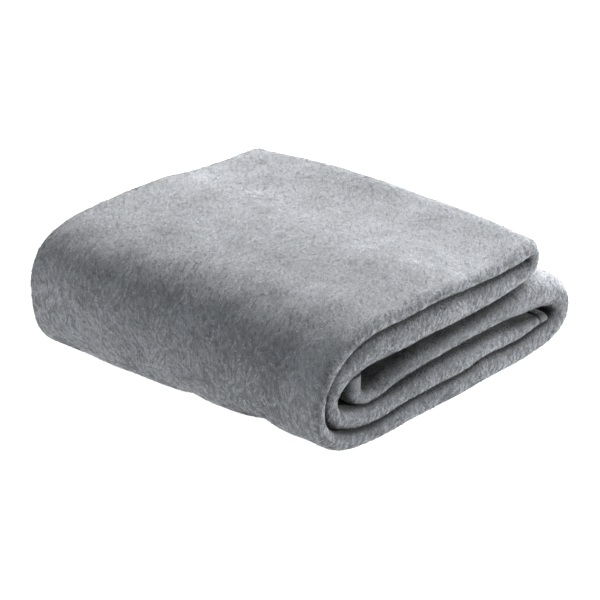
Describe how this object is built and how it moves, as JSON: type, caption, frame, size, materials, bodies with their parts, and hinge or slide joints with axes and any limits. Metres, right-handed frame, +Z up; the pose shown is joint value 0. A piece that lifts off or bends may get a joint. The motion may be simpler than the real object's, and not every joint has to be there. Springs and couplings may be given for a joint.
{
  "type": "folded throw blanket",
  "caption": "Soft pile throw folded into a flat rectangular stack, with a big rounded side fold, a loose top flap, layered noses at the near end and hemmed edges at the far end",
  "frame": {"origin": "centre of the bounding box in plan, on the surface that the stack rests on", "axes": "+Z up; +X from the big rounded side fold towards the back fold; +Y from the near end, where the folded noses show, to the hemmed far end"},
  "size_m": [0.33, 0.32, 0.1124],
  "materials": {
    "fleece": "short dense two-sided pile, matt with a soft sheen where the pile lies over, mid grey",
    "hem": "the same pile cloth, turned over once and stitched with matching thread",
    "label": "blank woven satin ribbon"
  },
  "bodies": {
    "root": {"turned_end_hem": "hem", "turned_up_end": "fleece", "middle_layer": "fleece", "back_fold": "fleece", "base_layer": "fleece", "outer_side_fold": "fleece", "top_flap": "fleece", "flap_edge_fold": "fleece", "under_layer": "fleece", "inner_side_fold": "fleece", "lower_layer": "fleece", "lower_end_hem": "hem", "outer_long_hem": "hem", "inner_long_hem": "hem", "care_label": "label"}
  },
  "joints": []
}
